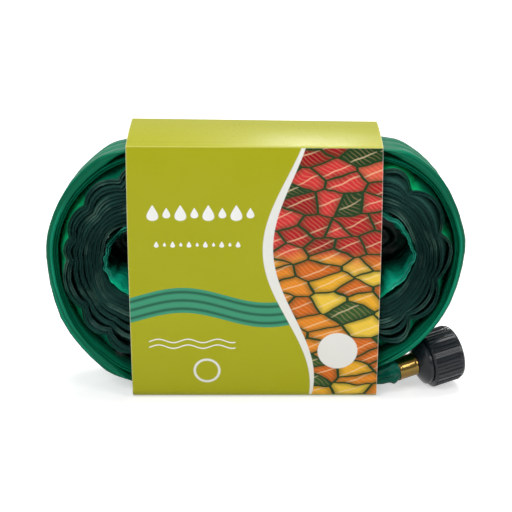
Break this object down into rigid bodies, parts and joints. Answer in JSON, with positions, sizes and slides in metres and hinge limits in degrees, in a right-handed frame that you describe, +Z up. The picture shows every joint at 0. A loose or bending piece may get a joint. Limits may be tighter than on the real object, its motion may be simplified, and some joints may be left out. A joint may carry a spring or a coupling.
{
  "type": "soaker hose",
  "caption": "Flat soaker hose wound into an oval coil inside a printed card sleeve, with a swivelling threaded tap nut on its outer end and a screw cap on its inner end.",
  "frame": {"origin": "centre of the card sleeve's base, on the surface that the coil stands on", "axes": "+X along the coil towards the tap nut, -Y the printed front, +Z up"},
  "size_m": [0.2626, 0.0684, 0.1656],
  "materials": {
    "hose": "glossy translucent green PVC film",
    "card": "coated printed card",
    "glue": "hot-melt glue",
    "brass": "drawn, bright",
    "black_plastic": "moulded, satin",
    "rubber": "moulded, matt"
  },
  "bodies": {
    "coil": {"hose_coil": "hose", "hose_inlet_tail": "hose", "hose_core_fold": "hose", "hose_core_tail": "hose", "inlet_ferrule": "brass", "inlet_stem": "black_plastic", "tap_washer": "rubber", "end_ferrule": "brass", "end_stem": "black_plastic"},
    "sleeve": {"card_sleeve": "card", "sleeve_lap_glue": "glue"},
    "tap_nut": {"coupling_nut": "black_plastic"},
    "cap_seal": {"end_cap_washer": "rubber"},
    "cap": {"end_cap": "black_plastic"}
  },
  "joints": [
    {"name": "nut_swivel", "type": "hinge", "parent": "coil", "child": "tap_nut", "pos_m": [0.11052, -0.00923, 0.01836], "axis": [0.917, 0.3705, 0.1478], "continuous": true},
    {"name": "sleeve_slide", "type": "slide", "parent": "coil", "child": "sleeve", "axis": [-1, 0, 0], "range_m": [0, 0.215]},
    {"name": "end_cap_travel", "type": "slide", "parent": "coil", "child": "cap_seal", "axis": [1, 0, 0], "range_m": [0, 0.01]},
    {"name": "end_cap_turn", "type": "hinge", "parent": "cap_seal", "child": "cap", "pos_m": [0.04, -0.009, 0.0925], "axis": [1, 0, 0], "range_deg": [0, 1980]}
  ],
  "couplings": [
    {"joint": "end_cap_travel", "follows": "end_cap_turn", "m_per_rad": 0.00028871}
  ]
}
